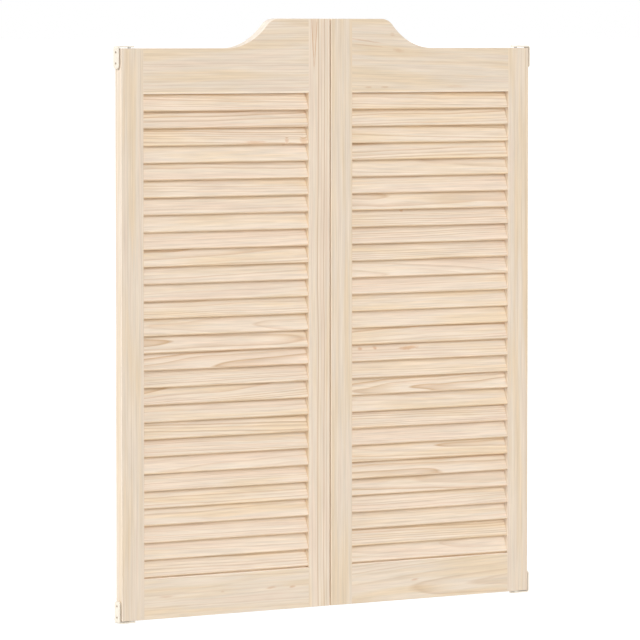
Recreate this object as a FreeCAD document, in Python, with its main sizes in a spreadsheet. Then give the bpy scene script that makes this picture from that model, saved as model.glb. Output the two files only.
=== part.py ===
"""Pair of louvred pine cafe doors on two-way pivot hinges.

Each leaf is a flat frame of two stiles and two rails, joined with stub tenons,
and filled with fixed slats whose ends are housed in the stiles. The top rail
falls in an S curve from the crest beside the seam to the low shoulder at the
jamb. A bush in each end of the outer stile turns on a pin in a jamb bracket.

Millimetres, +Z up, front of the doors towards -Y. The origin is the middle of
the doorway, in the doors' mid-plane, level with the undersides of the lower
brackets. The left-hand pieces are modelled; the right-hand ones mirror them.
"""
import FreeCAD, Part
import math
import os
import Sketcher

SIZES = {
    # doorway and leaf
    "opening_width": 914.4,
    "centre_gap": 2.4,
    "side_gap": 2.5,
    "top_gap": 1.5,
    "leaf_height": 1013.4,
    "leaf_thickness": 19.0,
    "arris": 0.8,
    # frame members
    "stile_width": 47.0,
    "bottom_rail_height": 72.8,
    "top_rail_height": 80.9,
    "rail_arris": 1.6,
    # S curve of the top edge: the rise from the low shoulder to the crest, its two
    # radii, and how far from the seam edge the cove runs out
    "crest_rise": 53.1,
    "crest_shoulder_radius": 34.0,
    "cove_radius": 116.0,
    "cove_foot_from_seam": 227.8,
    # slats and the housings for their ends
    "slat_count": 28,
    "slat_width": 35.0,
    "slat_thickness": 5.0,
    "slat_tilt": 20.0,
    "slat_arris": 1.2,
    "slat_setback": 1.2,
    "slat_foot_gap": 2.0,
    "upstand_height": 4.0,
    "housing_depth": 8.0,
    "housing_fit": 0.1,
    "housing_end_gap": 0.5,
    "rebate_clearance": 1.0,
    # tenons on the ends of the rails
    "tenon_thickness": 7.0,
    "tenon_length": 15.0,
    "tenon_shoulder": 12.0,
    "tenon_fit": 0.05,
    "tenon_end_gap": 1.0,
    # pivots
    "pin_radius": 3.0,
    "pin_engagement": 14.0,
    "pin_tip_chamfer": 0.8,
    "pivot_clearance": 0.05,
    "bush_wall": 2.0,
    "bush_length": 16.0,
    "washer_radius": 7.0,
    "washer_thickness": 1.5,
    # jamb brackets
    "bracket_thickness": 2.5,
    "bracket_width": 15.0,
    "bracket_height": 40.0,
    "bracket_nose": 8.5,
    "bracket_corner": 3.5,
    "bend_radius": 2.0,
    "screw_hole_radius": 2.25,
    "screw_sink": 1.5,
    "screw_spacing": 20.0,
    "screw_edge": 9.0,
}

doc = FreeCAD.newDocument("cafe_doors")
dims = doc.addObject("Spreadsheet::Sheet", "dims")
for row, (alias, size) in enumerate(SIZES.items(), start=1):
    dims.set(f"A{row}", alias)
    dims.set(f"B{row}", str(size))
    dims.setAlias(f"B{row}", alias)
doc.recompute()


def value(expression):
    """The number that an expression on the sheet gives."""
    return float(dims.evalExpression(expression))


# ---- places that several pieces share, as expressions on the sheet ----
HALF_THICK = "(dims.leaf_thickness / 2)"
HALF_STILE = "(dims.stile_width / 2)"
LEAF_WIDTH = ("((dims.opening_width - dims.centre_gap) / 2"
              " - dims.bracket_thickness - dims.side_gap)")
LEAF_BASE = "(dims.bracket_thickness + dims.washer_thickness)"
OUTER_STILE_X = f"(-dims.centre_gap / 2 - {LEAF_WIDTH} + {HALF_STILE})"
INNER_STILE_X = f"(-dims.centre_gap / 2 - {HALF_STILE})"
RAIL_LENGTH = f"({LEAF_WIDTH} - 2 * dims.stile_width)"
RAIL_X = f"({OUTER_STILE_X} + {HALF_STILE})"
CREST_HEIGHT = "(dims.leaf_height + dims.crest_rise)"
CREST_RAIL_HEIGHT = "(dims.top_rail_height + dims.crest_rise)"
TOP_RAIL_FOOT = "(dims.leaf_height - dims.top_rail_height)"
PITCH = (f"(({TOP_RAIL_FOOT} - dims.bottom_rail_height - dims.slat_foot_gap)"
         " / dims.slat_count)")
JAMB_X = "(-dims.opening_width / 2)"
PIVOT_FROM_JAMB = f"(dims.bracket_thickness + dims.side_gap + {HALF_STILE})"
PIVOT_BORE = "(dims.pin_radius + dims.pivot_clearance)"
BUSH_RADIUS = f"({PIVOT_BORE} + dims.bush_wall)"
BRACKET_SPAN = ("(dims.leaf_height + dims.washer_thickness + dims.top_gap"
                " + 2 * dims.bracket_thickness)")

# How far a slat reaches from its centre line, to the front, and down to its foot.
SLAT_REACH = ("((dims.slat_width / 2 - dims.slat_arris) * sin(dims.slat_tilt)"
              " + dims.slat_thickness / 2 * cos(dims.slat_tilt))")
SLAT_DROP = ("(dims.slat_width / 2 * cos(dims.slat_tilt)"
             " + (dims.slat_thickness / 2 - dims.slat_arris) * sin(dims.slat_tilt))")
SLAT_Y = f"({SLAT_REACH} + dims.slat_setback - {HALF_THICK})"
LOWEST_SLAT_Z = f"(dims.bottom_rail_height + dims.slat_foot_gap + {SLAT_DROP})"

# the Sketcher's names for its origin and for the points of a line or an arc
ORIGIN = (-1, 1)
START, END, CENTRE = range(1, 4)


# ---- the few operations that every piece is made with ----
def new_body(label, x, z):
    """A body placed by expressions for X and Z; every piece is centred on the mid-plane."""
    body = doc.addObject("PartDesign::Body", label)
    body.Label = label
    body.AllowCompound = True
    body.setExpression("Placement.Base.x", x)
    body.setExpression("Placement.Base.z", z)
    return body


def origin_feature(body, role):
    return next(f for f in body.Origin.OriginFeatures if f.Role == role)


def new_sketch(body, plane, offset="0"):
    """A sketch on one of the body's origin planes, moved along the plane's normal."""
    sketch = body.newObject("Sketcher::SketchObject", "sketch")
    sketch.AttachmentSupport = [(origin_feature(body, plane), "")]
    sketch.MapMode = "FlatFace"
    sketch.setExpression("AttachmentOffset.Base.z", offset)
    return sketch


def bind(sketch, kind, target, expression):
    """Adds one dimension to a sketch and binds it to the sheet."""
    index = sketch.addConstraint(Sketcher.Constraint(kind, *target, value(expression)))
    sketch.setExpression(f"Constraints[{index}]", expression)


def locate(sketch, geometry, point, x, y):
    bind(sketch, "DistanceX", (*ORIGIN, geometry, point), x)
    bind(sketch, "DistanceY", (*ORIGIN, geometry, point), y)


def outline(body, plane, corners, offset="0"):
    """A closed straight-sided outline through corners given as pairs of expressions."""
    sketch = new_sketch(body, plane, offset)
    places = [FreeCAD.Vector(value(x), value(y), 0) for x, y in corners]
    count = len(corners)
    for i in range(count):
        sketch.addGeometry(Part.LineSegment(places[i], places[(i + 1) % count]), False)
    for i in range(count):
        sketch.addConstraint(
            Sketcher.Constraint("Coincident", i, END, (i + 1) % count, START))
        locate(sketch, i, START, *corners[i])
    return sketch


def rectangle(body, plane, x_low, x_high, y_low, y_high, offset="0"):
    corners = [(x_low, y_low), (x_high, y_low), (x_high, y_high), (x_low, y_high)]
    return outline(body, plane, corners, offset)


def circles(body, plane, x, y, radii, offset="0"):
    """One circle, or several on one centre."""
    sketch = new_sketch(body, plane, offset)
    centre, upward = FreeCAD.Vector(value(x), value(y), 0), FreeCAD.Vector(0, 0, 1)
    for i, radius in enumerate(radii):
        sketch.addGeometry(Part.Circle(centre, upward, value(radius)), False)
        locate(sketch, i, CENTRE, x, y)
        bind(sketch, "Radius", (i,), radius)
    return sketch


def pad(body, sketch, length, both_ways=False, reverse=False):
    feature = body.newObject("PartDesign::Pad", "pad")
    feature.Profile = sketch
    feature.Reversed = reverse
    if both_ways:
        feature.SideType = "Symmetric"
    feature.setExpression("Length", length)
    doc.recompute()
    return feature


def pocket(body, sketch, depth, reverse=False):
    """Cuts against the sketch's normal, or along it when reversed, and checks that it cut."""
    before = body.Shape.Volume
    feature = body.newObject("PartDesign::Pocket", "pocket")
    feature.Profile = sketch
    feature.Reversed = reverse
    feature.setExpression("Length", depth)
    doc.recompute()
    if not feature.Shape.Volume < before:
        raise RuntimeError(f"a pocket in {body.Label} cuts nothing")
    return feature


def repeat_up(body, feature, spacing, count):
    """Repeats a feature up the body's Z axis."""
    row = body.newObject("PartDesign::LinearPattern", "row")
    row.Originals = [feature]
    row.Direction = (origin_feature(body, "Z_Axis"), [""])
    row.Mode = "Spacing"
    row.setExpression("Offset", spacing)
    row.setExpression("Occurrences", count)
    body.Tip = row
    doc.recompute()


def edge_names(shape, wanted):
    """Names of the edges whose middle point passes a test."""
    names = []
    for i, edge in enumerate(shape.Edges, start=1):
        middle = edge.valueAt((edge.FirstParameter + edge.LastParameter) / 2)
        if wanted(edge, middle):
            names.append(f"Edge{i}")
    return names


def fillet(body, base, edges, radius):
    feature = body.newObject("PartDesign::Fillet", "fillet")
    feature.Base = (base, edges)
    feature.setExpression("Radius", radius)
    doc.recompute()
    return feature


def chamfer(body, base, edges, size):
    feature = body.newObject("PartDesign::Chamfer", "chamfer")
    feature.Base = (base, edges)
    feature.setExpression("Size", size)
    doc.recompute()
    return feature


def close(a, b):
    return abs(a - b) < 1e-4


def is_circle(edge):
    return edge.Curve.TypeId == "Part::GeomCircle"


# ---- slats, and the housings in the stiles that have the same section ----
def slat_section(body, allowance, offset):
    """The lowest slat's section, front edge low, with its arrises eased.

    The allowance grows it all round, for a housing. Corners are given along the
    slat's width, from foot to head, and across its thickness, from front to back.
    """
    half_width = f"(dims.slat_width / 2 + {allowance})"
    half_thick = f"(dims.slat_thickness / 2 + {allowance})"
    inner_width = f"({half_width} - dims.slat_arris)"
    inner_thick = f"({half_thick} - dims.slat_arris)"
    corners = []
    for along, across in ((f"-{half_width}", f"-{inner_thick}"), (f"-{half_width}", inner_thick),
                          (f"-{inner_width}", half_thick), (inner_width, half_thick),
                          (half_width, inner_thick), (half_width, f"-{inner_thick}"),
                          (inner_width, f"-{half_thick}"), (f"-{inner_width}", f"-{half_thick}")):
        y = f"{SLAT_Y} + {along} * sin(dims.slat_tilt) + {across} * cos(dims.slat_tilt)"
        z = f"{LOWEST_SLAT_Z} + {along} * cos(dims.slat_tilt) - {across} * sin(dims.slat_tilt)"
        corners.append((y, z))
    return outline(body, "YZ_Plane", corners, offset)


def slats(label):
    """The fixed slats of one leaf: separate strips with their ends inside the stiles."""
    body = new_body(label, RAIL_X, LEAF_BASE)
    housed = "(dims.housing_depth - dims.housing_end_gap)"
    section = slat_section(body, "0", f"-{housed}")
    strip = pad(body, section, f"{RAIL_LENGTH} + 2 * {housed}")
    repeat_up(body, strip, PITCH, "dims.slat_count")
    return body


# ---- frame members ----
def mortise(body, x, reverse, foot, rail_height):
    """A blind mortise for the tenon of a rail of a height, with its foot at a height."""
    half = "(dims.tenon_thickness / 2 + dims.tenon_fit)"
    shy = "(dims.tenon_shoulder - dims.tenon_fit)"
    mouth = rectangle(body, "YZ_Plane", f"-{half}", half, f"{foot} + {shy}",
                      f"{foot} + {rail_height} - {shy}", x)
    pocket(body, mouth, "dims.tenon_length + dims.tenon_end_gap", reverse)


def tenon(body, x, reverse, rail_height):
    half = "(dims.tenon_thickness / 2)"
    root = rectangle(body, "YZ_Plane", f"-{half}", half, "dims.tenon_shoulder",
                     f"{rail_height} - dims.tenon_shoulder", x)
    pad(body, root, "dims.tenon_length", reverse=reverse)


def stile(label, x, height, inward, top_rail_height):
    """An upright, with its arrises eased except along the edge that the rails butt against.

    inward is 1 if the slats are on its +X side and -1 if they are on its -X side.
    """
    body = new_body(label, x, LEAF_BASE)
    section = rectangle(body, "XY_Plane", f"-{HALF_STILE}", HALF_STILE,
                        f"-{HALF_THICK}", HALF_THICK)
    blank = pad(body, section, height)
    joint_face = inward * value(HALF_STILE)
    eased = edge_names(blank.Shape, lambda edge, middle: not close(middle.x, joint_face))
    chamfer(body, blank, eased, "dims.arris")

    face_x = f"{inward} * {HALF_STILE}"
    along_x = inward < 0
    housing = pocket(body, slat_section(body, "dims.housing_fit", face_x),
                     "dims.housing_depth", along_x)
    repeat_up(body, housing, PITCH, "dims.slat_count")
    mortise(body, face_x, along_x, "0", "dims.bottom_rail_height")
    mortise(body, face_x, along_x, TOP_RAIL_FOOT, top_rail_height)
    return body


def outer_stile(label):
    """The hanging stile, bored at both ends for the pivot bushes."""
    body = stile(label, OUTER_STILE_X, "dims.leaf_height", 1, "dims.top_rail_height")
    for end, upward in (("0", True), ("dims.leaf_height", False)):
        bore = circles(body, "XY_Plane", "0", "0", [BUSH_RADIUS], end)
        pocket(body, bore, "dims.bush_length", reverse=upward)
    return body


def ease_long_edges(body, blank, slat_side):
    """Eases a rail's front and back arrises, more along the side next to the slats.

    slat_side is that side's height in the body. The butting ends stay square.
    """
    half_thick, length, inside = value(HALF_THICK), value(RAIL_LENGTH), value(slat_side)

    def long_arris(edge, middle):
        on_a_face = close(abs(middle.y), half_thick)
        on_an_end = close(middle.x, 0) or close(middle.x, length)
        return on_a_face and not on_an_end

    inner = edge_names(blank.Shape, lambda edge, middle: (
        long_arris(edge, middle) and close(middle.z, inside)))
    eased = chamfer(body, blank, inner, "dims.rail_arris")
    outer = edge_names(eased.Shape, lambda edge, middle: (
        long_arris(edge, middle) and abs(middle.z - inside) > value("2 * dims.rail_arris")))
    chamfer(body, eased, outer, "dims.arris")


def bottom_rail(label):
    body = new_body(label, RAIL_X, LEAF_BASE)
    face = rectangle(body, "XZ_Plane", "0", RAIL_LENGTH, "0", "dims.bottom_rail_height")
    blank = pad(body, face, "dims.leaf_thickness", both_ways=True)
    ease_long_edges(body, blank, "dims.bottom_rail_height")

    # an upstand behind the foot of the lowest slat shuts off the light under it
    slat_back = (f"({SLAT_Y} - (dims.slat_width / 2 - dims.slat_arris) * sin(dims.slat_tilt)"
                 " + dims.slat_thickness / 2 * cos(dims.slat_tilt))")
    upstand = rectangle(body, "YZ_Plane", f"{slat_back} + dims.rebate_clearance",
                        f"{HALF_THICK} - dims.rail_arris", "dims.bottom_rail_height",
                        "dims.bottom_rail_height + dims.upstand_height")
    pad(body, upstand, RAIL_LENGTH)
    tenon(body, "0", True, "dims.bottom_rail_height")
    tenon(body, RAIL_LENGTH, False, "dims.bottom_rail_height")
    return body


def shaped_face(body):
    """Face of the top rail: level by the jamb, then a cove and a shoulder up to the crest."""
    sketch = new_sketch(body, "XZ_Plane")
    foot_x = f"({RAIL_LENGTH} + dims.stile_width - dims.cove_foot_from_seam)"
    shoulder, cove = value("dims.crest_shoulder_radius"), value("dims.cove_radius")
    length, low, high = value(RAIL_LENGTH), value("dims.top_rail_height"), value(CREST_RAIL_HEIGHT)

    # the two arcs meet on the line between their centres
    cove_centre = FreeCAD.Vector(value(foot_x), low + cove, 0)
    down = cove_centre.y - (high - shoulder)
    over = math.sqrt((cove + shoulder) ** 2 - down ** 2)
    shoulder_centre = cove_centre + FreeCAD.Vector(over, -down, 0)
    turn = math.atan2(down, over)
    upward = FreeCAD.Vector(0, 0, 1)
    shoulder_round = Part.Circle(shoulder_centre, upward, shoulder)
    cove_round = Part.Circle(cove_centre, upward, cove)

    corner = [FreeCAD.Vector(x, y, 0) for x, y in (
        (0, 0), (length, 0), (length, high), (shoulder_centre.x, high),
        (cove_centre.x, low), (0, low))]
    sketch.addGeometry([
        Part.LineSegment(corner[0], corner[1]),
        Part.LineSegment(corner[1], corner[2]),
        Part.LineSegment(corner[2], corner[3]),
        Part.ArcOfCircle(shoulder_round, math.pi / 2, math.pi - turn),
        Part.ArcOfCircle(cove_round, 3 * math.pi / 2, 2 * math.pi - turn),
        Part.LineSegment(corner[4], corner[5]),
        Part.LineSegment(corner[5], corner[0])], False)
    for kind, target in (
            ("Coincident", (0, END, 1, START)), ("Coincident", (1, END, 2, START)),
            ("Tangent", (2, END, 3, START)), ("Tangent", (3, END, 4, END)),
            ("Tangent", (4, START, 5, START)), ("Coincident", (5, END, 6, START)),
            ("Coincident", (6, END, 0, START)), ("Coincident", (0, START, *ORIGIN)),
            ("Horizontal", (0,)), ("Vertical", (1,)), ("Horizontal", (2,)),
            ("Horizontal", (5,)), ("Vertical", (6,))):
        sketch.addConstraint(Sketcher.Constraint(kind, *target))
    bind(sketch, "DistanceX", (0, START, 0, END), RAIL_LENGTH)
    bind(sketch, "DistanceY", (1, START, 1, END), CREST_RAIL_HEIGHT)
    bind(sketch, "DistanceY", (*ORIGIN, 5, END), "dims.top_rail_height")
    bind(sketch, "DistanceX", (*ORIGIN, 5, START), foot_x)
    bind(sketch, "Radius", (3,), "dims.crest_shoulder_radius")
    bind(sketch, "Radius", (4,), "dims.cove_radius")
    return sketch


def top_rail(label):
    body = new_body(label, RAIL_X, f"{LEAF_BASE} + {TOP_RAIL_FOOT}")
    blank = pad(body, shaped_face(body), "dims.leaf_thickness", both_ways=True)
    ease_long_edges(body, blank, "0")

    # a rebate along the back of the lower edge clears the head of the top slat, which
    # leans back past the foot of the rail
    head = f"max(2 * {SLAT_DROP} - {PITCH}; 0)"
    slat_front = (f"({SLAT_Y} + ({SLAT_DROP} - {head}) * tan(dims.slat_tilt)"
                  " - dims.slat_thickness / 2 / cos(dims.slat_tilt))")
    depth = f"({head} + dims.rebate_clearance)"
    rebate = rectangle(body, "YZ_Plane", f"{slat_front} - dims.rebate_clearance",
                       "dims.leaf_thickness", f"-{depth}", depth)
    pocket(body, rebate, RAIL_LENGTH, reverse=True)
    tenon(body, "0", True, "dims.top_rail_height")
    tenon(body, RAIL_LENGTH, False, CREST_RAIL_HEIGHT)
    return body


# ---- pivot hardware: made the lower way up, and turned over for the upper pivot ----
def turned_over(body, z):
    """Turns a piece over about its X axis, with its base brought to a height."""
    half_turn = FreeCAD.Rotation(FreeCAD.Vector(1, 0, 0), 180)
    body.Placement = FreeCAD.Placement(body.Placement.Base, half_turn)
    body.setExpression("Placement.Base.z", z)
    doc.recompute()
    return body


def bush(label):
    """Nylon sleeve, pressed flush into an end of the hanging stile."""
    body = new_body(label, OUTER_STILE_X, LEAF_BASE)
    ring = circles(body, "XY_Plane", "0", "0", [PIVOT_BORE, BUSH_RADIUS])
    pad(body, ring, "dims.bush_length")
    return body


def thrust_washer(label):
    """Nylon washer on the lower pin, which carries the leaf on its flat top."""
    body = new_body(label, OUTER_STILE_X, "dims.bracket_thickness")
    ring = circles(body, "XY_Plane", "0", "0", [PIVOT_BORE, "dims.washer_radius"])
    pad(body, ring, "dims.washer_thickness")
    return body


def pivot_pin(label, gap):
    """Steel pin, riveted flush into the bracket's tongue, that crosses a gap to the stile."""
    body = new_body(label, OUTER_STILE_X, "0")
    length = f"(dims.bracket_thickness + {gap} + dims.pin_engagement)"
    shank = pad(body, circles(body, "XY_Plane", "0", "0", ["dims.pin_radius"]), length)
    tip_z = value(length)
    tip = edge_names(shank.Shape, lambda edge, middle: close(middle.z, tip_z) and is_circle(edge))
    chamfer(body, shank, tip, "dims.pin_tip_chamfer")
    return body


def bracket(label):
    """Bent steel strip: a plate screwed to the jamb and a tongue that reaches the pivot."""
    body = new_body(label, JAMB_X, "0")
    thick, reach = "dims.bracket_thickness", f"({PIVOT_FROM_JAMB} + dims.bracket_nose)"
    profile = outline(body, "XZ_Plane", [
        ("0", "0"), (reach, "0"), (reach, thick), (thick, thick),
        (thick, "dims.bracket_height"), ("0", "dims.bracket_height")])
    strip = pad(body, profile, "dims.bracket_width", both_ways=True)

    inside, nose, top = value(thick), value(reach), value("dims.bracket_height")
    corners = edge_names(strip.Shape, lambda edge, middle: (
        close(middle.y, 0) and close(middle.x, inside) and close(middle.z, inside)))
    bent = fillet(body, strip, corners, "dims.bend_radius")
    corners = edge_names(bent.Shape, lambda edge, middle: (
        close(middle.y, 0) and close(middle.x, 0) and close(middle.z, 0)))
    bent = fillet(body, bent, corners, "dims.bend_radius + dims.bracket_thickness")
    corners = edge_names(bent.Shape, lambda edge, middle: (
        (close(middle.x, nose) or close(middle.z, top)) and not close(middle.y, 0)
        and close(min(middle.x, middle.z), inside / 2)))
    chamfer(body, bent, corners, "dims.bracket_corner")

    pin_hole = circles(body, "XY_Plane", PIVOT_FROM_JAMB, "0", ["dims.pin_radius"])
    pierced = pocket(body, pin_hole, thick, reverse=True)
    for below in ("0", "dims.screw_spacing"):
        height = f"(dims.bracket_height - dims.screw_edge - {below})"
        screw_hole = circles(body, "YZ_Plane", "0", height, ["dims.screw_hole_radius"])
        pierced = pocket(body, screw_hole, thick, reverse=True)
    rims = edge_names(pierced.Shape, lambda edge, middle: (
        close(middle.x, inside) and is_circle(edge)))
    chamfer(body, pierced, rims, "dims.screw_sink")
    return body


def left_hand_pieces():
    """Every piece of the left-hand door, in the order it is put together."""
    leaf_top = f"{LEAF_BASE} + dims.leaf_height"
    return [
        outer_stile("left_outer_stile"),
        stile("left_inner_stile", INNER_STILE_X, CREST_HEIGHT, -1, CREST_RAIL_HEIGHT),
        slats("left_slats"),
        bottom_rail("left_bottom_rail"),
        top_rail("left_top_rail"),
        bush("left_lower_bush"),
        turned_over(bush("left_upper_bush"), leaf_top),
        bracket("left_lower_bracket"),
        pivot_pin("left_lower_pin", "dims.washer_thickness"),
        thrust_washer("left_lower_washer"),
        turned_over(bracket("left_upper_bracket"), BRACKET_SPAN),
        turned_over(pivot_pin("left_upper_pin", "dims.top_gap"), BRACKET_SPAN),
    ]


def mirrored(piece):
    """The right-hand twin of a left-hand piece, across the middle of the doorway."""
    label = piece.Label.replace("left_", "right_")
    twin = doc.addObject("Part::Mirroring", label)
    twin.Label = label
    twin.Source = piece
    twin.Base = FreeCAD.Vector(0, 0, 0)
    twin.Normal = FreeCAD.Vector(1, 0, 0)
    return twin


left = left_hand_pieces()
pieces = left + [mirrored(piece) for piece in left]
doc.recompute()

for thing in doc.Objects:
    if "Invalid" in thing.State or "Error" in thing.State:
        raise RuntimeError(f"{thing.Label} failed: {thing.State}")
for piece in pieces:
    if piece.Shape.isNull() or not piece.Shape.isValid():
        raise RuntimeError(f"{piece.Label} has no valid shape")

os.makedirs("parts", exist_ok=True)
for piece in pieces:
    piece.Shape.exportStep(f"parts/{piece.Label}.step")
    print(f"{piece.Label}: {len(piece.Shape.Solids)} solids, {piece.Shape.Volume:.0f} mm3")
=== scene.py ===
"""Dresses the pair of louvred pine cafe doors, and sets their camera, light and floor."""
import math

import bpy
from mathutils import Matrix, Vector

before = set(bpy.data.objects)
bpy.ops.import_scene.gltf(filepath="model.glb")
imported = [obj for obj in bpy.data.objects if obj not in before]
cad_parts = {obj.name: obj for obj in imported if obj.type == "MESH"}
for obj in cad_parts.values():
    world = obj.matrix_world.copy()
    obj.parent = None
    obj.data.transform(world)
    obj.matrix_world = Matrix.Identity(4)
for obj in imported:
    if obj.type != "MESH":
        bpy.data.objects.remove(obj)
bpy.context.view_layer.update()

# ---- Hanging stiles ----
# The upright at each jamb is a strip of clear pine, planed and sanded and left bare.
# It is rift sawn, so its growth rings show as straight, faint lines from end to end.

METRE = 1000.0  # millimetres, which the grain is drawn in


def linear(hex_colour):
    """An sRGB hex colour as linear RGBA."""
    parts = [int(hex_colour[i:i + 2], 16) / 255 for i in (1, 3, 5)]
    return (*[c / 12.92 if c <= 0.04045 else ((c + 0.055) / 1.055) ** 2.4 for c in parts], 1.0)


def add_node(tree, kind, inputs=None, **settings):
    """Adds a node, sets it up, and gives each named input a number or another node's output."""
    node = tree.nodes.new("ShaderNode" + kind)
    for name, setting in settings.items():
        setattr(node, name, setting)
    for name, source in (inputs or {}).items():
        if isinstance(source, bpy.types.NodeSocket):
            tree.links.new(source, node.inputs[name])
        else:
            node.inputs[name].default_value = source
    return node


def new_material(name):
    """A new material, with its node tree and its shader."""
    material = bpy.data.materials.new(name)
    material.use_nodes = True
    return material, material.node_tree, material.node_tree.nodes["Principled BSDF"]


# Bare pine is honey, cream or pink in long patches where it grew in spring, and a cool tan
# where it grew in late summer. Arrises are sanded paler and also given a painted highlight.
HONEY, CREAM, PINK = linear("#E9D4B8"), linear("#EADAC7"), linear("#E9D5C1")
LATE_WOOD = linear("#C6A178")
LATE_WOOD_RISE = ((0.4, 0.05), (0.78, 0.55), (0.9, 1.0))  # part of the year, depth of tone
WEAKEST_YEAR = 0.25                    # depth of its late wood, where a strong year's is 1
RUNS_PER_YEAR, RUN_SHIFT = 0.45, 1.8   # runs of good and poor years, and rings they shift
SANDED_HIGHLIT_ARRIS, SANDED_HIGHLIT_PALING = linear("#F4E7D8"), 0.7
ARRIS_FROM, ARRIS_TO = 1.1, 1.35       # x + y + z of where it faces: 1 on a flat side
EDGE_FROM, EDGE_TO = 0.3, 0.1          # y of where it faces: 1 on the front and the back
RESIN = linear("#CC9762")              # in and round a knot
PAINTED_SHADE = linear("#FDF8EF")          # painted shade: a deeper, warmer tone on edges and in recesses
KNOT_RINGS = 1.3                       # how many rings bulge round a knot
RING_SWAY = Vector((0, 3.0, 3.0))      # how far the rings wander, across the trunk, in mm
SWAY_LENGTH, SWAY_WIDTH = 240.0, 40.0  # mm, as are the lengths and widths below
PATCH_LENGTH, PATCH_WIDTH = 260.0, 16.0
STREAK_LENGTH, STREAK_WIDTH = 110.0, 4.5
FIBRE_LENGTH, FIBRE_WIDTH = 50.0, 1.4  # finer in real pine, drawn as coarse as it shows
FIBRE_TONE, STREAK_TONE = 0.05, 0.07   # how much lighter and darker they are
FIBRE_RELIEF = 0.00004                 # metres
NOISE_LOW, NOISE_HIGH = 0.3, 0.7       # nearly all of a noise lies between these
BOARD_FIGURE = 0.8                     # how strongly streaks and fibre show on the boards


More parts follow.
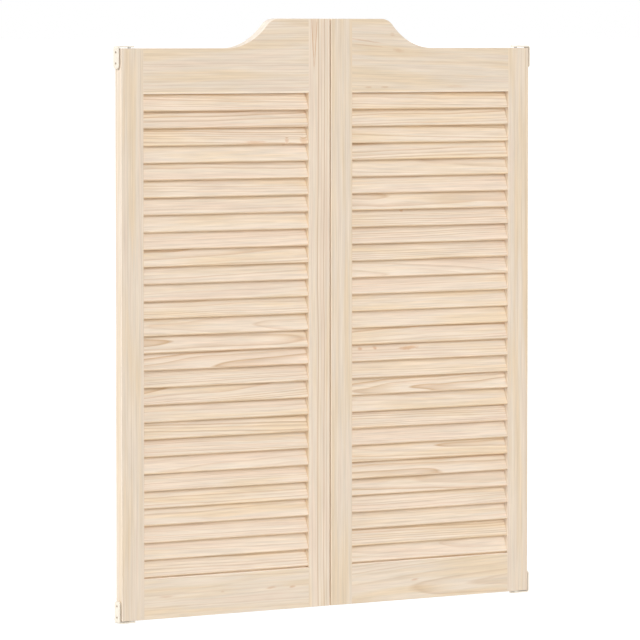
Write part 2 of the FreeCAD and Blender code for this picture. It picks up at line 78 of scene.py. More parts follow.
def pine_grain():
    """Node group: colour and relief of pine at a place in the trunk, in mm, X up the trunk."""
    tree = bpy.data.node_groups.new("pine grain", "ShaderNodeTree")
    for name, kind in (("Place", "Vector"), ("Facing", "Vector"), ("Ring width", "Float"),
                       ("Contrast", "Float"), ("Hue", "Float"), ("Shade", "Float"),
                       ("Figure", "Float"), ("Edge tone", "Float"), ("Pale edge", "Float"),
                       ("Painted shade", "Float"), ("Painted light", "Float"), ("Drawn", "Float"),
                       ("Knot", "Float")):
        tree.interface.new_socket(name, in_out="INPUT", socket_type="NodeSocket" + kind)
    for name, kind in (("Colour", "Color"), ("Relief", "Float")):
        tree.interface.new_socket(name, in_out="OUTPUT", socket_type="NodeSocket" + kind)
    given = tree.nodes.new("NodeGroupInput").outputs
    result = tree.nodes.new("NodeGroupOutput").inputs

    def streaks(length, width, detail):
        """Noise drawn out along the trunk."""
        drawn = add_node(tree, "VectorMath", {
            0: given["Place"], 1: (1 / length, 1 / width, 1 / width)},
            operation="MULTIPLY").outputs[0]
        return add_node(tree, "TexNoise", {"Vector": drawn, "Scale": 1.0, "Detail": detail})

    def spread(noise, low, high):
        """The middle of a noise's range, stretched to run from low to high."""
        return add_node(tree, "MapRange", {
            "Value": noise.outputs["Fac"], "From Min": NOISE_LOW, "From Max": NOISE_HIGH,
            "To Min": low, "To Max": high}).outputs[0]

    # how many rings out from the pith, where the rings wander and bulge round a knot
    wander = add_node(tree, "VectorMath", {
        0: streaks(SWAY_LENGTH, SWAY_WIDTH, 2.0).outputs["Color"], 1: (0.5, 0.5, 0.5)},
        operation="SUBTRACT").outputs[0]
    swayed = add_node(tree, "VectorMath", {0: wander, 1: 2 * RING_SWAY, 2: given["Place"]},
                      operation="MULTIPLY_ADD").outputs[0]
    across = add_node(tree, "VectorMath", {0: swayed, 1: (0, 1, 1)},
                      operation="MULTIPLY").outputs[0]
    radius = add_node(tree, "VectorMath", {0: across}, operation="LENGTH").outputs["Value"]
    grown = add_node(tree, "Math", {0: radius, 1: given["Ring width"]},
                     operation="DIVIDE").outputs[0]
    years = add_node(tree, "Math", {0: given["Knot"], 1: KNOT_RINGS, 2: grown},
                     operation="MULTIPLY_ADD").outputs[0]
    run = add_node(tree, "TexNoise", {"W": years, "Scale": RUNS_PER_YEAR, "Detail": 1.0},
                   noise_dimensions="1D").outputs["Fac"]
    uneven = add_node(tree, "Math", {0: run, 1: RUN_SHIFT, 2: years},
                      operation="MULTIPLY_ADD").outputs[0]

    # late wood darkens slowly through a ring and ends sharply, more in some years than others
    late = add_node(tree, "ValToRGB", {
        "Fac": add_node(tree, "Math", {0: uneven}, operation="FRACT").outputs[0]})
    ramp = late.color_ramp
    for place, tone in LATE_WOOD_RISE:
        ramp.elements.new(place).color = (tone, tone, tone, 1)
    ramp.elements[-1].color = (0, 0, 0, 1)
    year = add_node(tree, "Math", {0: uneven}, operation="FLOOR").outputs[0]
    vigour = add_node(tree, "MapRange", {
        "Value": add_node(tree, "TexWhiteNoise", {"W": year}, noise_dimensions="1D").outputs[0],
        "To Min": WEAKEST_YEAR, "To Max": 1.0}).outputs[0]
    strength = add_node(tree, "Math", {0: late.outputs["Color"], 1: vigour},
                        operation="MULTIPLY").outputs[0]

    # early wood in patches, with late wood, drawn rings and knots over it
    patch = spread(streaks(PATCH_LENGTH, PATCH_WIDTH, 2.0), 0.0, 1.0)
    tint = add_node(tree, "ValToRGB", {
        "Fac": add_node(tree, "Math", {0: patch, 1: given["Hue"]}, operation="ADD").outputs[0]})
    tint.color_ramp.elements[0].color = HONEY
    tint.color_ramp.elements.new(0.5).color = CREAM
    tint.color_ramp.elements[-1].color = PINK
    amount = add_node(tree, "Math", {0: strength, 1: given["Contrast"]},
                      operation="MULTIPLY").outputs[0]
    amount = add_node(tree, "Math", {0: amount, 1: given["Drawn"]},
                      operation="MAXIMUM").outputs[0]
    ringed = add_node(tree, "MixRGB", {"Fac": amount, 1: tint.outputs[0], 2: LATE_WOOD})
    ringed = add_node(tree, "MixRGB", {"Fac": given["Knot"], 1: ringed.outputs[0], 2: RESIN})

    # an arris faces half way between two of the board's own sides: sanded paler, plus painted
    # highlight
    sides = add_node(tree, "VectorMath", {0: given["Facing"]}, operation="ABSOLUTE").outputs[0]
    widest = add_node(tree, "VectorMath", {0: sides, 1: (1, 1, 1)},
                      operation="DOT_PRODUCT").outputs["Value"]
    sanded_and_highlit_arris = add_node(tree, "MapRange", {"Value": widest, "From Min": ARRIS_FROM,
                                        "From Max": ARRIS_TO, "To Max": SANDED_HIGHLIT_PALING}).outputs[0]

    # the sides that face neither front nor back are sawn edges; they carry painted shade or
    # highlight
    level = add_node(tree, "SeparateXYZ", {0: sides}).outputs["Y"]
    edge = add_node(tree, "MapRange", {"Value": level, "From Min": EDGE_FROM,
                                       "From Max": EDGE_TO}).outputs[0]
    edge_shade, pale = (add_node(tree, "Math", {0: edge, 1: given[name]},
                           operation="MULTIPLY").outputs[0] for name in ("Edge tone", "Pale edge"))
    pale_and_highlit = add_node(tree, "Math", {0: sanded_and_highlit_arris, 1: pale}, operation="MAXIMUM").outputs[0]
    sanded_and_highlit = add_node(tree, "MixRGB", {"Fac": pale_and_highlit, 1: ringed.outputs[0], 2: SANDED_HIGHLIT_ARRIS}).outputs[0]
    # painted shade, multiplied in on the edges and where slats go in behind each other
    deepest = add_node(tree, "Math", {0: edge_shade, 1: given["Painted shade"]},
                       operation="MAXIMUM").outputs[0]
    with_painted_shade = add_node(tree, "MixRGB", {"Fac": deepest, 1: sanded_and_highlit, 2: PAINTED_SHADE},
                     blend_type="MULTIPLY").outputs[0]

    # streaks and fibre over it all, the tone of the board itself, and painted light
    fibre = streaks(FIBRE_LENGTH, FIBRE_WIDTH, 3.0)
    streak = streaks(STREAK_LENGTH, STREAK_WIDTH, 3.0)
    marks = add_node(tree, "Math", {
        0: spread(fibre, -FIBRE_TONE, FIBRE_TONE), 1: spread(streak, -STREAK_TONE, STREAK_TONE)},
        operation="ADD").outputs[0]
    shade_and_painted_light = add_node(tree, "Math", {0: given["Shade"], 1: given["Painted light"]},
                      operation="ADD").outputs[0]
    shade_and_painted_light = add_node(tree, "Math", {0: shade_and_painted_light, 1: 1.0}, operation="ADD").outputs[0]
    tone = add_node(tree, "Math", {0: marks, 1: given["Figure"], 2: shade_and_painted_light},
                    operation="MULTIPLY_ADD").outputs[0]
    tree.links.new(add_node(tree, "VectorMath", {0: with_painted_shade, "Scale": tone},
                            operation="SCALE").outputs[0], result["Colour"])
    tree.links.new(add_node(tree, "Math", {0: fibre.outputs["Fac"], 1: strength},
                            operation="ADD").outputs[0], result["Relief"])
    return tree


PINE = pine_grain()


def pine(name, place, **grain_settings):
    """Bare sanded pine. place(tree) gives the node group's inputs that depend on the place
    on the piece, among them the place in the trunk in mm. The settings give the others."""
    material, tree, shader = new_material(name)
    settings = {key.replace("_", " ").capitalize(): n for key, n in grain_settings.items()}
    grain = add_node(tree, "Group", {**place(tree), **settings}, node_tree=PINE).outputs
    tree.links.new(grain["Colour"], shader.inputs["Base Color"])
    relief = add_node(tree, "Bump", {"Height": grain["Relief"], "Strength": 1.0,
                                     "Distance": FIBRE_RELIEF})
    tree.links.new(relief.outputs[0], shader.inputs["Normal"])
    shader.inputs["Roughness"].default_value = 0.62
    shader.inputs["IOR"].default_value = 1.5
    return material


def dress(node_name, material):
    """Gives a CAD node its material."""
    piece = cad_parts[node_name]
    piece.data.materials.clear()
    piece.data.materials.append(material)


def dress_board(node_name, axis, pith, lean, features=(), **grain_settings):
    """Gives a board its own pine, from how it lay in its trunk: the axis that its grain
    follows, the trunk's pith as (through, across) in mm from the doors' own origin, and the
    board's lean in degrees. A feature gives further inputs of the node group, as place does."""
    def place(tree):
        surface = add_node(tree, "TexCoord").outputs
        upright, across = (90, pith[1]) if axis == "Z" else (0, -pith[1])
        inputs = {"Facing": surface["Normal"], "Place": add_node(tree, "Mapping", {
            "Vector": surface["Object"], "Scale": (METRE,) * 3,
            "Rotation": (0.0, math.radians(upright + lean[0]), math.radians(lean[1])),
            "Location": (0.0, -pith[0], across)}).outputs[0]}
        for feature in features:
            inputs.update(feature(tree))
        return inputs
    dress(node_name, pine("pine_" + node_name, place, figure=BOARD_FIGURE, **grain_settings))


# painted highlight on the sawn sides
dress_board("left_outer_stile", "Z", pith=(40, -560), lean=(0.2, 0.3), ring_width=5.5,
            contrast=0.40, hue=-0.15, shade=-0.030, pale_edge=0.25)
dress_board("right_outer_stile", "Z", pith=(-50, 300), lean=(0.2, 0.2), ring_width=4.5,
            contrast=0.45, hue=-0.20, shade=-0.012, pale_edge=0.25)

# ---- Meeting stiles ----
# The two uprights that meet at the seam are taller by the crest of the top rails. The
# left one was cut across a few hard winters: strong single rings, one split by resin at
# its head. Their edges carry painted shade, and the seam's arrises painted highlight.

STRONG_RINGS = (  # mm from the stile's edge by the slats, width in mm, strength
    (9.0, 3.0, 0.20), (21.5, 3.6, 0.75), (28.5, 2.6, 0.40), (35.0, 3.0, 0.75), (40.5, 2.4, 0.45))
RING_RISE, RING_FALL = 0.7, 0.3        # parts of its width before and after its darkest line
RING_DRIFT, DRIFT_LENGTH = 9.0, 420.0  # mm
RESIN_WEDGE = (  # the two sides of a V, and the stained wood above and between them
    (-39.4, 1031.0, 0.9, 50.0, -3.3, 0.82), (-32.2, 1031.0, 0.9, 50.0, 4.1, 0.78),
    (-35.8, 1078.0, 5.0, 60.0, 0.0, 0.22))
KNOT_GRIT, GRIT_SIZE = 0.9, 9.0        # how ragged a knot's outline is, and over how many mm
KNOT_RIM, KNOT_HEART = 1.5, 0.2        # where its colour starts and is full, in half lengths
SEAM_HIGHLIGHT_FROM, SEAM_HIGHLIGHT_TO = 2.0, 0.6      # mm in from the meeting edge
SEAM_HIGHLIGHT_LIFT = 0.09                     # painted highlight: how much paler, as are the other lifts


def span(node_name, axis):
    """Where a CAD node begins and ends along an axis, in mm."""
    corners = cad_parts[node_name].bound_box
    places = [METRE * corner["XYZ".index(axis)] for corner in corners]
    return min(places), max(places)


def along(tree, axis, start=0.0):
    """How far along an axis a place on the piece lies from the start, both in mm."""
    where = add_node(tree, "SeparateXYZ", {0: add_node(tree, "TexCoord").outputs["Object"]})
    return add_node(tree, "Math", {0: where.outputs[axis], 1: METRE, 2: -start},
                    operation="MULTIPLY_ADD").outputs[0]


def strong_rings(tree):
    """The hard winters' rings, which drift a little across the stile as they climb it."""
    edge, seam = span("left_inner_stile", "X")
    climb = add_node(tree, "TexNoise", {"W": along(tree, "Z"), "Scale": 1 / DRIFT_LENGTH,
                                        "Detail": 1.0}, noise_dimensions="1D").outputs["Fac"]
    across = add_node(tree, "Math", {
        0: climb, 1: RING_DRIFT, 2: along(tree, "X", edge + RING_DRIFT / 2)},
        operation="MULTIPLY_ADD").outputs[0]
    chart = add_node(tree, "ValToRGB", {
        "Fac": add_node(tree, "Math", {0: across, 1: seam - edge}, operation="DIVIDE").outputs[0]})
    ramp = chart.color_ramp
    ramp.elements[-1].color = (0, 0, 0, 1)
    for middle, width, strength in STRONG_RINGS:
        for place, tone in ((middle - RING_RISE * width, 0.0), (middle, strength),
                            (middle + RING_FALL * width, 0.0)):
            ramp.elements.new(place / (seam - edge)).color = (tone, tone, tone, 1)
    return {"Drawn": chart.outputs["Color"]}


def knots(*marks):
    """A feature of small knots and resin streaks. Each mark is its place on the doors as
    (x, z) and its half lengths in mm, its turn in degrees, and its strength."""
    def feature(tree):
        where = add_node(tree, "TexCoord").outputs["Object"]
        grit = add_node(tree, "TexNoise", {"Vector": where, "Scale": METRE / GRIT_SIZE})
        ragged = add_node(tree, "VectorMath", {0: grit.outputs["Color"], 1: (0.5, 0.5, 0.5)},
                          operation="SUBTRACT").outputs[0]
        deepest = 0.0
        for x, z, half_x, half_z, turn, strength in marks:
            off = add_node(tree, "Mapping", {
                "Vector": where, "Location": (x / METRE, 0.0, z / METRE),
                "Rotation": (0.0, math.radians(turn), 0.0),
                "Scale": (half_x / METRE, 1.0, half_z / METRE)}, vector_type="TEXTURE").outputs[0]
            off = add_node(tree, "VectorMath", {0: ragged, 1: (KNOT_GRIT,) * 3, 2: off},
                           operation="MULTIPLY_ADD").outputs[0]
            far = add_node(tree, "VectorMath", {0: off}, operation="LENGTH").outputs["Value"]
            mark = add_node(tree, "MapRange", {
                "Value": far, "From Min": KNOT_RIM, "From Max": KNOT_HEART, "To Max": strength},
                interpolation_type="SMOOTHERSTEP").outputs[0]
            deepest = add_node(tree, "Math", {0: mark, 1: deepest},
                               operation="MAXIMUM").outputs[0]
        return {"Knot": deepest}
    return feature


def painted_seam_highlight(tree):
    """Painted highlight: a paler line along the arrises at the seam."""
    meeting_edge = span("right_inner_stile", "X")[0]
    off_centre = add_node(tree, "Math", {0: along(tree, "X")}, operation="ABSOLUTE").outputs[0]
    return {"Painted light": add_node(tree, "MapRange", {
        "Value": off_centre, "From Min": meeting_edge + SEAM_HIGHLIGHT_FROM,
        "From Max": meeting_edge + SEAM_HIGHLIGHT_TO, "To Max": SEAM_HIGHLIGHT_LIFT}).outputs[0]}


# painted shade on the edges, and painted highlight along the seam
dress_board("left_inner_stile", "Z", pith=(20, 120), lean=(0.3, 0.2), ring_width=6.0,
            contrast=0.35, hue=0.0, shade=0.015, edge_tone=1.0,
            features=(strong_rings, painted_seam_highlight, knots(*RESIN_WEDGE)))
dress_board("right_inner_stile", "Z", pith=(60, -180), lean=(0.1, 0.3), ring_width=5.0,
            contrast=0.30, hue=-0.25, shade=-0.030, edge_tone=1.0, features=(painted_seam_highlight,))

# ---- Bottom rails ----
# A board of the same pine across the foot of each leaf, with its grain level, joined to
# the stiles by stub tenons. The right one is flat sawn and shows an arch of rings, and the
# left one has a few pin knots. Each head carries painted light, each edge painted shade.

UPSTAND = 4.0                      # mm higher behind the slats than in front
RAIL_HEAD_LIGHT_FROM, RAIL_HEAD_LIGHT_TO = -1.3, -0.3    # mm above the head of its front
RAIL_HEAD_LIGHT_LIFT = 0.13
LEFT_PIN_KNOTS = (
    (-130.6, 45.2, 11.0, 2.2, -4.0, 0.40), (-84.3, 44.2, 7.0, 2.0, -4.0, 0.45),
    (-237.5, 44.7, 4.0, 2.2, 0.0, 0.25), (-358.0, 43.3, 18.0, 2.5, 0.0, 0.25))
RIGHT_PIN_KNOT = (190.0, 40.0, 9.0, 2.0, -8.0, 0.35)


def painted_rail_head_light(tree):
    """Painted light along the head of the rail, lifting the shade under the lowest slat."""
    return {"Painted light": add_node(tree, "MapRange", {
        "Value": along(tree, "Z", span("left_bottom_rail", "Z")[1] - UPSTAND),
        "From Min": RAIL_HEAD_LIGHT_FROM, "From Max": RAIL_HEAD_LIGHT_TO, "To Max": RAIL_HEAD_LIGHT_LIFT}).outputs[0]}


dress_board("left_bottom_rail", "X", pith=(70, 120), lean=(0.6, 1.0), ring_width=5.0,
            contrast=0.45, hue=-0.15, edge_tone=1.0,
            features=(painted_rail_head_light, knots(*LEFT_PIN_KNOTS)))
dress_board("right_bottom_rail", "X", pith=(43.8, 20), lean=(1.2, 1.35), ring_width=5.0,
            contrast=0.55, hue=-0.25, edge_tone=1.0,
            features=(painted_rail_head_light, knots(RIGHT_PIN_KNOT)))

# ---- Top rails ----
# A wider board at the head of each leaf, band sawn to its S curve and sanded. The rings
# of the left one are close and level; those of the right one dip towards the jamb, round
# the root of a branch. Painted highlight runs along its foot and sawn head, painted shade
# along its other edges.

FOOT_HIGHLIGHT_FROM, FOOT_HIGHLIGHT_TO = 3.6, 2.6    # mm above the foot of the rail, as are the next two
HIGHLIT_HEAD_FROM, HIGHLIT_HEAD_TO = 53.5, 63.5  # above this the band sawn edge has painted highlight, below it painted shade
FOOT_HIGHLIGHT_LIFT = 0.19
BRANCH_ROOT = (
    (78.0, 1030.5, 42.0, 1.2, 7.0, 0.40), (82.0, 1022.0, 40.0, 1.1, 5.0, 0.35),
    (152.5, 1013.0, 12.0, 3.5, 8.0, 0.28), (139.0, 1042.0, 5.0, 4.0, 0.0, 0.22),
    (85.0, 946.0, 8.0, 2.0, 0.0, 0.28), (122.0, 946.0, 8.0, 2.0, 0.0, 0.28),
    (282.0, 946.5, 22.0, 2.4, 0.0, 0.18))


def painted_foot_and_head_light(tree):
    """Painted highlight along the foot of the rail and on its sawn head, painted shade on its
    other edges.
    """
    height = along(tree, "Z", span("left_top_rail", "Z")[0])
    head = add_node(tree, "MapRange", {"Value": height, "From Min": HIGHLIT_HEAD_FROM,
                                       "From Max": HIGHLIT_HEAD_TO}).outputs[0]
    return {
        "Painted light": add_node(tree, "MapRange", {
            "Value": height, "From Min": FOOT_HIGHLIGHT_FROM, "From Max": FOOT_HIGHLIGHT_TO,
            "To Max": FOOT_HIGHLIGHT_LIFT}).outputs[0],
        "Pale edge": head,
        "Edge tone": add_node(tree, "Math", {0: 1.0, 1: head}, operation="SUBTRACT").outputs[0]}


dress_board("left_top_rail", "X", pith=(90, 1150), lean=(0.5, 0.6), ring_width=4.5,
            contrast=0.45, hue=-0.15, shade=-0.012, features=(painted_foot_and_head_light,))
dress_board("right_top_rail", "X", pith=(60, 820), lean=(-1.5, 0.8), ring_width=5.5,
            contrast=0.35, hue=-0.15, shade=-0.025,
            features=(painted_foot_and_head_light, knots(*BRANCH_ROOT)))

# ---- Slats ----
# Thin strips of pine, ripped from many boards, so that each has rings and a tone of its
# own. All lean back by the same angle, one pitch apart, with their ends in housings.

SLATS = 28                              # on each leaf
SLAT_LEAN = math.radians(20)
SLAT_RISE = 33.778                      # mm from a slat's foot to its head, as it leans
SLATS_FOOT, SLATS_HEAD = span("left_slats", "Z")
SLAT_PITCH = (SLATS_HEAD - SLATS_FOOT - SLAT_RISE) / (SLATS - 1)
# the middle of the lowest slat's section
LOWEST_SLAT = Vector((0.0, sum(span("left_slats", "Y")) / 2, SLATS_FOOT + SLAT_RISE / 2))
COVERED_FROM, COVERED_TO = -9.5, -12.0  # mm along the slat's width, towards its nose: where painted shade comes in
NOSE, SANDED_HIGHLIT_NOSE = 16.3, 4.0             # where the nose begins, and the strip before it: sanded paler, and painted highlight
NOSE_LIFT = 0.03
SLAT_FIGURE = 1.15                      # how strongly streaks and fibre show on the slats
SLAT_KNOTS = (
    (-164.0, 848.5, 26.0, 3.0, 0.0, 0.46), (-94.7, 850.0, 4.0, 9.0, 20.0, 0.36),
    (-57.3, 850.5, 8.0, 8.0, 0.0, 0.38), (180.6, 467.5, 22.0, 3.5, -3.0, 0.55),
    (72.0, 469.5, 5.0, 3.0, 0.0, 0.45), (105.8, 470.0, 5.0, 3.0, 0.0, 0.45),
    (166.7, 720.0, 4.0, 3.0, 0.0, 0.40))

# the lots that each slat draws: which, from where, and how far up from there
PITH_LOT = (1.0, (0.0, 18.0, -65.0), (1600.0, 60.0, 130.0))   # where in the trunk, in mm
LOOKS_LOT = (3.0, (-0.25, 0.048, 2.4), (0.5, 0.02, 2.8))      # hue, shade and ring width
CONTRAST_LOT = (5.0, (0.35, 0.0, 0.0), (0.75, 0.0, 0.0))      # the first of the three is used
LEAN_LOT = (7.0, (0.0, -0.018, -0.018), (0.0, 0.036, 0.036))  # mm for each mm of its length


def ripped_strip(tree):
    """Each slat has its own place in a trunk, lean, ring width, contrast and tone."""
    where = add_node(tree, "TexCoord").outputs["Object"]
    turned = add_node(tree, "Mapping", {
        "Vector": add_node(tree, "VectorMath", {0: where, 1: (METRE,) * 3, 2: -LOWEST_SLAT},
                           operation="MULTIPLY_ADD").outputs[0],
        "Rotation": (SLAT_LEAN, 0.0, 0.0)}).outputs[0]
    turned = add_node(tree, "SeparateXYZ", {0: turned}).outputs
    step = SLAT_PITCH * math.sin(SLAT_LEAN)
    rise = add_node(tree, "Math", {0: turned["Y"], 1: -1 / step}, operation="MULTIPLY").outputs[0]
    number = add_node(tree, "Math", {0: rise}, operation="ROUND").outputs[0]
    width = add_node(tree, "Math", {
        0: number, 1: -SLAT_PITCH * math.cos(SLAT_LEAN), 2: turned["Z"]},
        operation="MULTIPLY_ADD").outputs[0]
    depth = add_node(tree, "Math", {0: number, 1: step, 2: turned["Y"]},
                     operation="MULTIPLY_ADD").outputs[0]
    leaf = add_node(tree, "Math", {0: turned["X"], 1: 0.0}, operation="GREATER_THAN").outputs[0]
    which = add_node(tree, "CombineXYZ", {"X": number, "Y": leaf}).outputs[0]

    def draw(lot, lowest, spread):
        """Three random numbers for each slat, from lowest up by as much as the spread."""
        chance = add_node(tree, "TexWhiteNoise", {"Vector": which, "W": lot},
                          noise_dimensions="4D").outputs["Color"]
        return add_node(tree, "VectorMath", {0: chance, 1: spread, 2: lowest},
                        operation="MULTIPLY_ADD").outputs[0]

    own = add_node(tree, "CombineXYZ", {"X": turned["X"], "Y": depth, "Z": width}).outputs[0]
    leaned = add_node(tree, "VectorMath", {0: draw(*LEAN_LOT), "Scale": turned["X"]},
                      operation="SCALE").outputs[0]
    offset = add_node(tree, "VectorMath", {0: draw(*PITH_LOT), 1: leaned},
                      operation="ADD").outputs[0]
    looks = add_node(tree, "SeparateXYZ", {0: draw(*LOOKS_LOT)}).outputs
    bold = add_node(tree, "SeparateXYZ", {0: draw(*CONTRAST_LOT)}).outputs

    # on the front a slat goes in behind the next one above it, and on the back behind the
    # next one below. There, and on its nose, it carries painted shade; above the nose, a
    # painted highlight.
    back = add_node(tree, "Math", {0: depth}, operation="SIGN").outputs[0]
    towards = add_node(tree, "Math", {0: width, 1: back}, operation="MULTIPLY").outputs[0]
    covered = add_node(tree, "MapRange", {"Value": towards, "From Min": COVERED_FROM,
                                          "From Max": COVERED_TO}).outputs[0]
    nose = add_node(tree, "Math", {0: towards, 1: NOSE}, operation="GREATER_THAN").outputs[0]
    sanded_and_highlit = add_node(tree, "MapRange", {"Value": towards, "From Min": NOSE - SANDED_HIGHLIT_NOSE,
                                         "From Max": NOSE, "To Max": NOSE_LIFT}).outputs[0]
    return {"Place": add_node(tree, "VectorMath", {0: own, 1: offset},
                              operation="ADD").outputs[0],
            "Facing": (0.0, 1.0, 0.0), "Hue": looks["X"], "Ring width": looks["Z"],
            "Shade": add_node(tree, "Math", {0: looks["Y"], 1: sanded_and_highlit},
                              operation="ADD").outputs[0],
            "Contrast": bold["X"],
            "Painted shade": add_node(tree, "Math", {0: covered, 1: nose},
                                  operation="MAXIMUM").outputs[0],
            **knots(*SLAT_KNOTS)(tree)}


slat_pine = pine("pine_slats", ripped_strip, figure=SLAT_FIGURE)
for leaf in ("left", "right"):
    dress(leaf + "_slats", slat_pine)

# ---- Bushes and washers ----
# Moulded nylon: a sleeve pressed into each end of the hanging stile, and the washer that
# it turns on. Off white, waxy, and a little cloudy.

NYLON_MOTTLE = 3.0  # mm from cloud to cloud

nylon, tree, shader = new_material("nylon_moulded")
where = add_node(tree, "TexCoord").outputs["Object"]
mottle = add_node(tree, "TexNoise", {"Vector": where, "Scale": METRE / NYLON_MOTTLE,
                                     "Detail": 2.0})
tone = add_node(tree, "MixRGB", {"Fac": mottle.outputs["Fac"], 1: linear("#EFEEE8"),
                                 2: linear("#E4E1D6")})
tree.links.new(tone.outputs[0], shader.inputs["Base Color"])
shader.inputs["Roughness"].default_value = 0.42
shader.inputs["IOR"].default_value = 1.53
for leaf in ("left", "right"):
    for piece in ("lower_bush", "upper_bush", "lower_washer"):
        dress(f"{leaf}_{piece}", nylon)

# ---- Brackets ----
# Mild steel strip, stamped, bent and powder coated, with two countersunk holes for the
# screws into the jamb. The coat is an off-white that goes with bare pine, smooth, with
# the faint ripple of such a finish.

COAT_RIPPLE = 1.5      # mm from crest to crest
COAT_RELIEF = 0.00002  # metres

coat, tree, shader = new_material("off_white_powder_coated_steel")
where = add_node(tree, "TexCoord").outputs["Object"]
ripple = add_node(tree, "TexNoise", {"Vector": where, "Scale": METRE / COAT_RIPPLE,
                                     "Detail": 1.0}).outputs["Fac"]
tone = add_node(tree, "MixRGB", {"Fac": ripple, 1: linear("#F2E9DB"), 2: linear("#EEE4D4")})
tree.links.new(tone.outputs[0], shader.inputs["Base Color"])
relief = add_node(tree, "Bump", {"Height": ripple, "Strength": 1.0, "Distance": COAT_RELIEF})
tree.links.new(relief.outputs[0], shader.inputs["Normal"])
shader.inputs["Roughness"].default_value = 0.35
shader.inputs["IOR"].default_value = 1.5
for leaf in ("left", "right"):
    for piece in ("lower_bracket", "upper_bracket"):
        dress(f"{leaf}_{piece}", coat)

# ---- Pins ----
# Turned steel, riveted into the bracket's tongue and bright zinc plated: a cool, slightly
# cloudy mirror with fine turning marks round it.

ZINC_CLOUD = 6.0             # mm from cloud to cloud
CLEAR, CLOUDED = 0.24, 0.38  # how rough it is, outside a cloud and in one
TURNING = 0.5                # mm for each radian: marks 3.1 mm apart, coarser than real ones
WAVE_RADIANS = 20.0          # what a wave texture of scale 1 goes through in one unit
TURNING_RELIEF = 0.00001     # metres

zinc, tree, shader = new_material("bright_zinc_plated_steel")
where = add_node(tree, "TexCoord").outputs["Object"]
cloud = add_node(tree, "TexNoise", {"Vector": where, "Scale": METRE / ZINC_CLOUD, "Detail": 3.0})
tone = add_node(tree, "MixRGB", {"Fac": cloud.outputs["Fac"], 1: linear("#D9DBDE"),
                                 2: linear("#C4C8CC")})
tree.links.new(tone.outputs[0], shader.inputs["Base Color"])
gloss = add_node(tree, "MapRange", {"Value": cloud.outputs["Fac"], "To Min": CLEAR,
                                    "To Max": CLOUDED})
tree.links.new(gloss.outputs[0], shader.inputs["Roughness"])
turning = add_node(tree, "TexWave", {
    "Vector": where, "Scale": METRE / TURNING / WAVE_RADIANS}, bands_direction="Z")
relief = add_node(tree, "Bump", {"Height": turning.outputs["Fac"], "Strength": 1.0,
                                 "Distance": TURNING_RELIEF})
tree.links.new(relief.outputs[0], shader.inputs["Normal"])
shader.inputs["Metallic"].default_value = 1.0
for leaf in ("left", "right"):
    for piece in ("lower_pin", "upper_pin"):
        dress(f"{leaf}_{piece}", zinc)

# ---- Floor ----
# A pale floor, painted matt white, well below the feet of the doors, as they hang at
# chest height. It is lit up for the camera, to go with the white ground behind them.

FLOOR_DROP = 0.45     # metres below the brackets
FLOOR_REACH = 4000.0  # metres from edge to edge, nearly out to the horizon
FLOOR_GLOW = 0.35     # light that it adds to what the camera sees, straight or mirrored


def white_to_the_camera(tree):
    """1 for rays that show the background: from the camera, off metal and through glass."""
    seen = add_node(tree, "LightPath").outputs
    shown = add_node(tree, "Math", {0: seen["Is Camera Ray"], 1: seen["Is Glossy Ray"]},
                     operation="MAXIMUM").outputs[0]
    return add_node(tree, "Math", {0: shown, 1: seen["Is Transmission Ray"]},
                    operation="MAXIMUM").outputs[0]


bpy.ops.object.select_all(action="DESELECT")
bpy.ops.mesh.primitive_plane_add(size=FLOOR_REACH, location=(0.0, 0.0, -FLOOR_DROP))
floor = bpy.context.active_object
floor.name = "floor"
paint, tree, matt = new_material("matt_white_floor")
matt.inputs["Base Color"].default_value = linear("#F4F4F2")
matt.inputs["Roughness"].default_value = 0.9
matt.inputs["Specular IOR Level"].default_value = 0.0
glow = add_node(tree, "Emission", {"Color": (1, 1, 1, 1), "Strength": add_node(
    tree, "Math", {0: white_to_the_camera(tree), 1: FLOOR_GLOW}, operation="MULTIPLY").outputs[0]})
both = add_node(tree, "AddShader", {0: matt.outputs[0], 1: glow.outputs[0]})
tree.links.new(both.outputs[0], tree.nodes["Material Output"].inputs["Surface"])
floor.data.materials.append(paint)

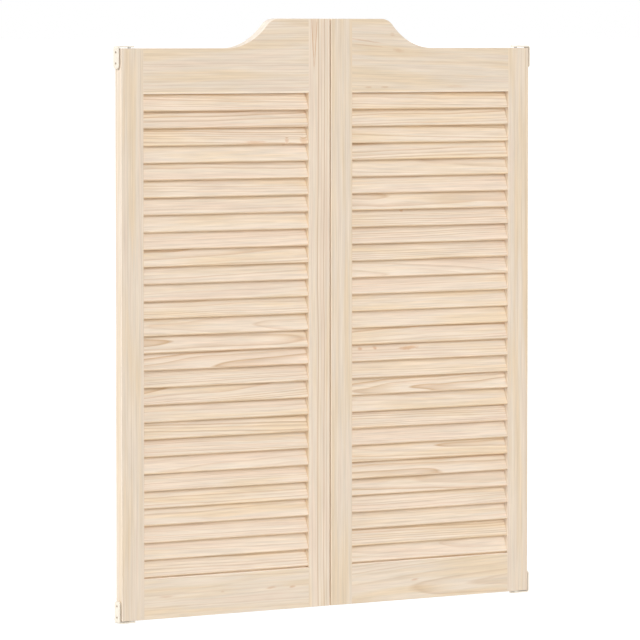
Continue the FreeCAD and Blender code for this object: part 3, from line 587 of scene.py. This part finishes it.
# ---- Light ----
# Plain studio light: a white surround that is brighter behind the doors than before them,
# two wide lamps in front, and one at their left side, which just grazes their faces.

SURROUND_FRONT, SURROUND_BACK = 0.23, 0.55
LAMP_SPREAD = math.radians(25)
LAMPS = {  # power, and where it shines from: degrees to the right of the front, and up
    "high_key": (0.76, -30, 35),
    "low_key": (0.91, 12, 20),
    "side": (1.67, -90, 25),
}

world = bpy.data.worlds.new("studio")
bpy.context.scene.world = world
world.use_nodes = True
tree = world.node_tree
backdrop = tree.nodes["Background"]
direction = add_node(tree, "SeparateXYZ", {
    0: add_node(tree, "TexCoord").outputs["Generated"]}).outputs["Y"]
surround = add_node(tree, "MapRange", {"Value": direction, "From Min": -1.0, "From Max": 1.0,
                                       "To Min": SURROUND_FRONT, "To Max": SURROUND_BACK})
level = add_node(tree, "MapRange", {"Value": white_to_the_camera(tree),
                                    "To Min": surround.outputs[0], "To Max": 1.0})
tree.links.new(level.outputs[0], backdrop.inputs["Strength"])
backdrop.inputs["Color"].default_value = (1, 1, 1, 1)

for name, (power, turn, height) in LAMPS.items():
    bpy.ops.object.light_add(type="SUN", rotation=(
        math.radians(90 - height), 0.0, math.radians(turn)))
    lamp = bpy.context.active_object
    lamp.name = name
    lamp.data.energy = power
    lamp.data.angle = LAMP_SPREAD

# ---- Camera ----
# A long lens, level with the top of the doors and well to their left, so that they show
# little perspective, and a strip of the left one's side.

CAMERA_PLACE = (-5.379, -7.567, 1.0375)   # metres
CAMERA_YAW, CAMERA_PITCH = 35.324, 3.165  # degrees to the right, and down
CAMERA_LENS = 288.0                       # mm
CAMERA_REACH = 5000.0                     # metres, past the far edge of the floor

bpy.ops.object.camera_add(location=CAMERA_PLACE, rotation=(
    math.radians(90 - CAMERA_PITCH), 0.0, math.radians(-CAMERA_YAW)))
camera = bpy.context.active_object
camera.data.lens = CAMERA_LENS
camera.data.clip_end = CAMERA_REACH
bpy.context.scene.camera = camera
bpy.context.scene.view_settings.view_transform = "Standard"
